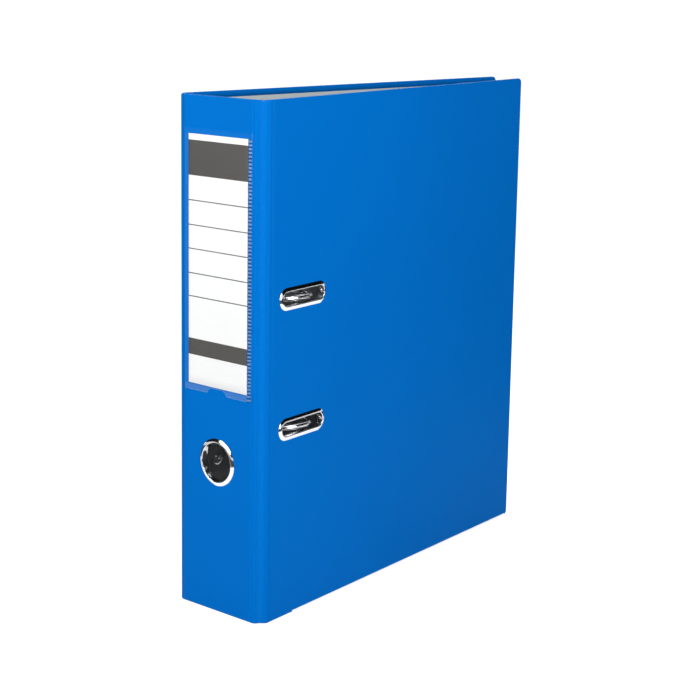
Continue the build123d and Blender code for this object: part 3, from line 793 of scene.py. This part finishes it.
def addPocket():
    # film grid from the foot, with its thumb notch, to the top weld: lifted over the card, pressed
    # down in ribs along the welds
    halfCard, cardLow, cardHigh = labelLook["width"] / 2, labelLook["low"], labelLook["high"]
    half = halfCard + pocket["border"]
    low, high = cardLow - pocket["foot"], cardHigh + pocket["border"]
    notch = pocket["notchWidth"] / 2
    right = np.concatenate([np.linspace(notch, halfCard, 14)[1:-1], np.linspace(halfCard, half, 9)])
    x = np.concatenate([-right[::-1], np.linspace(-notch, notch, 41), right])
    gx, t = np.meshgrid(x, np.linspace(0, 1, pocket["rows"]), indexing="ij")
    # the notch climbs steeply from a sharp corner and rounds off under the card
    climb = np.clip((notch - np.abs(gx)) / pocket["shoulder"], 0, 1)
    foot = low + pocket["notchRise"] * (1 - (1 - climb) ** pocket["roundOff"])
    z = foot + (high - foot) * t
    side = np.abs(gx)
    overCard = smoothStep((half - pocket["liftFrom"] - side) / pocket["liftRun"])
    overCard = overCard * smoothStep((high - pocket["liftFrom"] - z) / pocket["liftRun"])
    start, stop, fade = pocket["weldFrom"], pocket["weldTo"], pocket["weldFade"]
    sideWeld = smoothStep((side - halfCard - start) / fade) * smoothStep((half - stop - side) / fade)
    topWeld = smoothStep((z - cardHigh - start) / fade) * smoothStep((high - stop - z) / fade)
    inWeld = np.maximum(sideWeld, topWeld)
    along = np.where(z > cardHigh + fade, gx, z)
    ribs = 0.5 - 0.5 * np.cos(2 * math.pi * along / pocket["weldPitch"])
    y = -(pocket["gap"] + pocket["film"]) - pocket["lift"] * overCard
    y = y - pocket["weldDepth"] * ribs * inWeld
    points = joined(labelLook["centre"] + gx, y, z)
    # haze: full in the ribs of the right weld, less below the card, least at the left
    atRight = (gx > halfCard) & (z < cardHigh)
    weldHazeAndShade = inWeld * np.where(atRight, pocket["rightHaze"], pocket["leftHaze"]) * (z < cardHigh)
    sharpRibs = smoothStep((ribs - pocket["ribFrom"]) / pocket["ribFade"])
    # rib mask: 1 on the rib tops, falling to painted groove shade between them in the right weld
    ribGrooveShadeMask = np.where(atRight, sharpRibs * pocket["ribTone"], 1.0)
    # painted shadow: a dark line where the film steps down beside the card
    beside = (side > halfCard) & (side < halfCard + pocket["shadeWidth"])
    beside &= (z > cardLow) & (z < cardHigh)
    ribGrooveShadeMask = np.where(beside, 0.0, ribGrooveShadeMask)
    weldHazeAndShade = np.where(beside, np.where(gx > 0, pocket["shade"], pocket["leftShade"]), weldHazeAndShade)
    underCard = smoothStep((cardLow - pocket["footFrom"] - z) / fade)
    weldHazeAndShade = np.maximum(weldHazeAndShade, pocket["footHaze"] * underCard)
    # painted highlight: bright cut edges, with a painted glint at the corner beside the foot
    cut = smoothStep(1 - (half - side) / pocket["cutSide"])
    cutEdgeHighlight = np.maximum(smoothStep(1 - (z - foot) / pocket["cutFoot"]),
                         np.where(gx > 0, pocket["cutRight"], pocket["cutLeft"]) * cut)
    atNib = (half - gx < pocket["nib"]) & (z - low < pocket["nib"])
    cutEdgeHighlight = np.where(atNib, pocket["nibGlint"], cutEdgeHighlight)
    mesh = bpy.data.meshes.new("label_pocket_film")
    grid, quads = gridPatch(onPanel("spine", points))
    mesh.from_pydata(grid.tolist(), [], quads.tolist())
    for label, values in (("weldHazeAndShadeMask", weldHazeAndShade), ("ribGrooveShadeMask", ribGrooveShadeMask), ("edgeMask", cutEdgeHighlight)):
        layer = mesh.attributes.new(label, "FLOAT", "POINT")
        layer.data.foreach_set("value", values.reshape(-1).astype(np.float32))
    if mesh.polygons[0].normal.dot(outwardOf("spine")) < 0:
        mesh.flip_normals()
    mesh.shade_smooth()
    piece = addPiece("label_pocket_film", mesh, [clearFilm], pocket["film"])
    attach(piece, "spine")
    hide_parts("label_pocket")


addLabelCard()
addPocket()
print("label made")


# the arch wire: one bent wire with domed tips
wire = {"diameter": 4.0, "archX": 48.98, "archRadius": 16.0, "tipBack": 2.0, "legY": 24.0,
        "postY": 56.0, "shaftX": 7.5, "yokeY": 44.0, "middle": 157.2, "pitch": 80.0,
        "yokeLength": 27.0, "bend": 5.0, "crownBend": 15.8, "tipRows": 9, "tipPoint": 1e-4,
        "firstSide": (0.31, 0.17, 0.94)}


def onBack(points):
    # (height over the back cover's outer face, distance from its crease, height) in mm to the CAD frame
    return onPanel("back", points[..., [1, 0, 2]])


def filletPath(corners, radii, steps=14):
    # straight runs joined by arcs that touch both runs at each corner
    runs = [corners[0][None]]
    for before, corner, after, radius in zip(corners, corners[1:], corners[2:], radii):
        inDirection = (corner - before) / np.linalg.norm(corner - before)
        outDirection = (after - corner) / np.linalg.norm(after - corner)
        half = np.arccos(np.clip(inDirection @ outDirection, -1, 1)) / 2
        start = corner - inDirection * radius * math.tan(half)
        across = outDirection - inDirection
        across = across - inDirection * (across @ inDirection)
        centre = start + across / np.linalg.norm(across) * radius
        turn = np.linspace(0, 2 * half, steps)[:, None]
        arm = start - centre
        runs.append(centre + arm * np.cos(turn) + inDirection * radius * np.sin(turn))
    runs.append(corners[-1][None])
    return np.concatenate(runs)


def tubePatch(path, radius, sides=24):
    # circles carried along the path on axes that turn no more than the path does
    tangent = np.gradient(path, axis=0)
    tangent /= np.linalg.norm(tangent, axis=1, keepdims=True)
    side = np.zeros_like(path)
    side[0] = np.cross(tangent[0], wire["firstSide"])
    side[0] /= np.linalg.norm(side[0])
    for i in range(1, len(path)):
        moved = side[i - 1] - tangent[i] * (side[i - 1] @ tangent[i])
        side[i] = moved / np.linalg.norm(moved)
    other = np.cross(tangent, side)
    angle = np.linspace(0, 2 * math.pi, sides, endpoint=False)
    ring = side[:, None] * np.cos(angle)[None, :, None] + other[:, None] * np.sin(angle)[None, :, None]
    return gridPatch(path[:, None] + ring * radius[:, None, None], wrapColumns=True)


def addArchWire():
    # tips, legs, shafts and yoke in one sweep; each tip's radius falls off as half a ball
    radius = wire["diameter"] / 2
    crown = wire["archX"] + wire["archRadius"]
    tip = wire["archX"] - wire["tipBack"]
    ringZ = wire["pitch"] / 2
    yokeZ = wire["yokeLength"] / 2
    half = [(tip, wire["postY"], ringZ), (crown, wire["postY"], ringZ), (crown, wire["legY"], ringZ),
            (wire["shaftX"], wire["legY"], ringZ), (wire["shaftX"], wire["legY"], yokeZ),
            (wire["shaftX"], wire["yokeY"], yokeZ)]
    corners = np.array(half + [(x, y, -z) for x, y, z in reversed(half)], float)
    bends = [wire["crownBend"]] * 2 + [wire["bend"]] * 3
    path = filletPath(corners, bends + bends[::-1])
    turn = np.linspace(-math.pi / 2, 0, wire["tipRows"])[:-1]
    lead = np.sin(turn)[:, None] * radius
    start = path[0] + (path[1] - path[0]) / np.linalg.norm(path[1] - path[0]) * lead
    end = path[-1] - (path[-1] - path[-2]) / np.linalg.norm(path[-1] - path[-2]) * lead[::-1]
    path = np.concatenate([start, path, end])
    ball = np.cos(turn) * radius
    width = np.concatenate([ball, np.full(len(path) - 2 * len(ball), radius), ball[::-1]])
    path[:, 2] += wire["middle"]
    points, quads = tubePatch(path, np.maximum(width, wire["tipPoint"]))
    mesh = buildMesh("arch_wire_bent", [(onBack(points), quads)], sharpAngle=60)
    piece = addPiece("arch_wire_bent", mesh, [brightNickel])
    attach(piece, "arch")
    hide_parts("arch_wire")


def lathePatch(profile, x, y, z, axis, steps=40):
    # profile of (distance along the axis, radius) turned round it; the ends close at radius 0
    angle = np.linspace(0, 2 * math.pi, steps, endpoint=False)
    along, radius = np.array(profile, float).T
    across, up, reach = np.cos(angle) * radius[:, None], np.sin(angle) * radius[:, None], along[:, None]
    dx, dy = (reach, across) if axis == "x" else (across, reach)
    shape, quads = gridPatch(joined(x + dx, y + dy, z + up), wrapColumns=True)
    return onBack(shape), quads


def domed(height, radius, steps=8):
    # quarter ellipse from the rim to the top of a rivet head
    turn = np.linspace(0, math.pi / 2, steps)
    return [(height * math.sin(a), radius * math.cos(a)) for a in turn]


plateTop = 3.6  # over the back cover's outer face
rivets = {"nearY": 26.0, "farY": 58.0, "reach": 72.0, "head": 4.5, "headHeight": 0.98, "shank": 2.0,
          # the tail, flared with a dimple, as (height over the plate, radius)
          "tail": ((0.0, 3.2), (0.35, 3.15), (0.7, 2.6), (0.9, 1.7), (0.9, 1.1), (0.45, 0.6),
                   (0.4, 0.0))}
posts = {"radius": 2.5, "foot": 4.0, "footHeight": 0.8, "footBevel": 0.1, "collarWidth": 0.3,
         "collarEdge": 0.25, "fillet": 0.2, "shank": 1.6, "from": 2.6, "top": 45.28, "lip": 0.3,
         "lipBevel": 0.08, "dish": 2.3, "dishCentre": 46.98, "dishEdge": 0.25, "sides": 48}
roller = {"half": 3.5, "radius": 3.0, "bore": 1.25, "round": 0.4, "bevel": 0.12, "x": 12.8,
          "z": 168.545}


def addRivets():
    # domed head outside, shank, and the flared tail inside
    shank = rivets["shank"]
    head = [(-h, radius) for h, radius in reversed(domed(rivets["headHeight"], rivets["head"]))]
    tail = [(plateTop + height, radius) for height, radius in rivets["tail"]]
    profile = head + [(0.0, shank), (plateTop, shank)] + tail
    patches = [lathePatch(profile, 0, y, wire["middle"] + side * rivets["reach"], "x")
               for y in (rivets["nearY"], rivets["farY"]) for side in (-1, 1)]
    name = "mechanism_rivets_domed"
    piece = addPiece(name, buildMesh(name, patches), [zincSteel])
    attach(piece, "back_cover")
    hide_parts("mechanism_rivets")


def addPost(name, side):
    # collar, straight shank with a soft shoulder, and the ball-shaped dish that takes the arch's tip
    radius, foot, top, lip = posts["radius"], posts["foot"], posts["top"], posts["lip"]
    bevel, fillet, ball = posts["footBevel"], posts["fillet"], posts["dish"]
    collar = plateTop + posts["footHeight"]
    turn = np.linspace(math.asin((radius - posts["dishEdge"]) / ball), 0, 8)
    dish = [(posts["dishCentre"] - ball * math.cos(a), ball * math.sin(a)) for a in turn]
    profile = [(posts["from"], 0), (posts["from"], posts["shank"]), (plateTop, posts["shank"]),
               (plateTop, foot - bevel), (plateTop + bevel, foot), (collar - posts["collarEdge"], foot),
               (collar, foot - posts["collarWidth"]), (collar, radius + fillet),
               (collar + fillet, radius), (top - lip, radius),
               (top - posts["lipBevel"], radius - posts["lipBevel"]), (top, radius - lip)]
    profile += [(min(height, top), out) for height, out in dish if out < radius - lip]
    z = wire["middle"] + side * wire["pitch"] / 2
    patch = lathePatch(profile, 0, wire["postY"], z, "x", posts["sides"])
    mesh = buildMesh(name + "_turned", [patch], sharpAngle=40)
    piece = addPiece(name + "_turned", mesh, [brightNickel])
    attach(piece, "back_cover")
    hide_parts(name)


def addRoller():
    # nylon roller with rounded shoulders and its bore
    half, outer, bore = roller["half"], roller["radius"], roller["bore"]
    rounded, bevel = roller["round"], roller["bevel"]
    shoulder = [(half, bore), (half, outer - rounded), (half - bevel, outer - bevel),
                (half - rounded, outer)]
    profile = [(-reach, radius) for reach, radius in shoulder] + shoulder[::-1] + [(-half, bore)]
    patch = lathePatch(profile, roller["x"], wire["yokeY"], roller["z"], "y")
    name = "lever_roller_turned"
    piece = addPiece(name, buildMesh(name, [patch]), [rollerNylon])
    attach(piece, "roller")
    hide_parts("lever_roller")


addArchWire()
addRivets()
addPost("upper_post", 1)
addPost("lower_post", -1)
addRoller()
print("mechanism made")

# finishes of the CAD nodes that keep their own shape
finishOf = {"cover_foil": coverFoil, "greyboard": greyBoard, "lining_paper": liningPaper,
            "label_paper": labelPaper, "clear_film": clearFilm, "bright_metal": brightNickel,
            "zinc_steel": zincSteel, "roller_plastic": rollerNylon}
for part in frame["record"]["subparts"]:
    node = nodes[part["node"]]
    node.data.materials.clear()
    node.data.materials.append(finishOf[part["material_slot"]])
print("finishes set")

# camera
view = {"azimuth": 46.079, "elevation": 11.34, "roll": 0.779, "distance": 1.14119,
        "target": (0, -0.06, 0.172517), "lens": 92.62, "shift": (0.0473, -0.0404)}


def bearing(azimuth, elevation):
    # direction from the case to something, by its bearing round the case and its height in degrees
    a, e = math.radians(azimuth), math.radians(elevation)
    return Vector((math.sin(a) * math.cos(e), -math.cos(a) * math.cos(e), math.sin(e)))


def addCamera():
    # looks at the target from a bearing and height, then turned about its own axis
    r = math.radians(view["roll"])
    back = bearing(view["azimuth"], view["elevation"])
    right = (-back).cross(Vector((0, 0, 1))).normalized()
    up = right.cross(-back)
    right, up = right * math.cos(r) + up * math.sin(r), up * math.cos(r) - right * math.sin(r)
    camera = addObject("camera", bpy.data.cameras.new("camera"))
    place = Vector(view["target"]) + back * view["distance"]
    axes = Matrix((right, up, back)).transposed().to_4x4()
    camera.matrix_world = Matrix.Translation(place) @ axes
    camera.data.lens = view["lens"]
    camera.data.shift_x, camera.data.shift_y = view["shift"]
    bpy.context.scene.camera = camera


# studio: pale floor, world, soft lamps, and dark cards that only gloss can see
studio = {"floorSize": 40.0, "floor": (0.42, 0.42, 0.42, 1), "floorPale": (0.44, 0.44, 0.44, 1),
          "glowNear": 0.9, "glowFar": 1.0, "nearReach": 0.3, "farReach": 1.2, "ambient": 0.16,
          # name, bearing, height, distance, size, power
          "lamps": (("key", -10, 25, 0.9, 0.6, 5.4), ("fill", 82, 14, 0.8, 0.5, 2.7),
                    ("top", 70, 38, 1.0, 0.5, 4.0), ("back", 225, 35, 1.3, 0.8, 6.0)),
          "lampTarget": (0, -0.05, 0.15),
          "cardRadius": 6.0, "cardLow": 6.0, "cardInner": 0.45, "cardLift": 0.002, "cardSides": 48,
          "card": (0.02, 0.02, 0.02, 1), "cardDeep": (0.015, 0.015, 0.015, 1),
          "cardPale": (0.03, 0.03, 0.03, 1)}


def addFloor():
    # pale paper that glows white to the camera, gloss and film, and keeps the case's shadow
    size = studio["floorSize"]
    points = np.array([[[x, y, 0] for y in (-size, size)] for x in (-size, size)], float)
    floor = addObject("floor", buildMesh("floor", [gridPatch(points)], Vector((0, 0, 1))))
    material, s, sockets, place = newMaterial("floorPaper", studio["floor"], roughness=0.7)
    colour = s.mixColour(s.noise(place, scale=3.0), studio["floor"], studio["floorPale"])
    s.put(sockets["Base Color"], colour)
    sockets["Emission Color"].default_value = (1, 1, 1, 1)
    away = s.add("ShaderNodeVectorMath", {0: place}, operation="LENGTH").outputs["Value"]
    glow = s.add("ShaderNodeMapRange", {"Value": away, "From Min": studio["nearReach"],
                                        "From Max": studio["farReach"],
                                        "To Min": studio["glowNear"], "To Max": studio["glowFar"]})
    s.put(sockets["Emission Strength"], s.times(s.seenRays(), glow.outputs[0]))
    sockets["Specular IOR Level"].default_value = 0.0
    floor.data.materials.append(material)


def addWorld():
    world = bpy.data.worlds.new("studioWorld")
    world.use_nodes = True
    bpy.context.scene.world = world
    s = Shader(world.node_tree)
    ground = world.node_tree.nodes["Background"].inputs
    ground["Color"].default_value = (1, 1, 1, 1)
    s.put(ground["Strength"], s.spread(s.seenRays(), studio["ambient"], 1.0))


def addLamp(name, azimuth, elevation, distance, size, power):
    back = bearing(azimuth, elevation)
    lamp = addObject(name, bpy.data.lights.new(name, "AREA"))
    lamp.data.shape = "SQUARE"
    lamp.data.size = size
    lamp.data.energy = power
    lamp.location = Vector(studio["lampTarget"]) + back * distance
    lamp.rotation_euler = back.to_track_quat("Z", "Y").to_euler()


def addCards():
    # a dome above the horizon and a wide ring on the floor, seen by gloss alone, for the dark tones in
    # bright metal; the floor inside the ring and the horizon between the two stay white
    spin = np.linspace(0, 2 * math.pi, studio["cardSides"], endpoint=False)
    rise = np.linspace(math.radians(studio["cardLow"]), math.pi / 2, 13)[:, None]
    dome = joined(np.cos(rise) * np.cos(spin), np.cos(rise) * np.sin(spin), np.sin(rise))
    patch = gridPatch(dome * studio["cardRadius"], wrapColumns=True)
    reach = np.array([studio["cardInner"], studio["cardRadius"]])[:, None]
    ring = joined(reach * np.cos(spin), reach * np.sin(spin), studio["cardLift"])
    mesh = buildMesh("dark_cards", [patch, gridPatch(ring, wrapColumns=True)])
    cards = addObject("dark_cards", mesh)
    material, s, sockets, place = newMaterial("cardBlack", studio["card"], roughness=1.0)
    colour = s.mixColour(s.noise(place, scale=0.5), studio["cardDeep"], studio["cardPale"])
    s.put(sockets["Base Color"], colour)
    cards.data.materials.append(material)
    for ray in ("camera", "diffuse", "shadow", "transmission"):
        setattr(cards, "visible_" + ray, False)


addCamera()
addFloor()
addWorld()
for lamp in studio["lamps"]:
    addLamp(*lamp)
addCards()
bpy.context.scene.view_settings.view_transform = "Standard"
print("studio set")
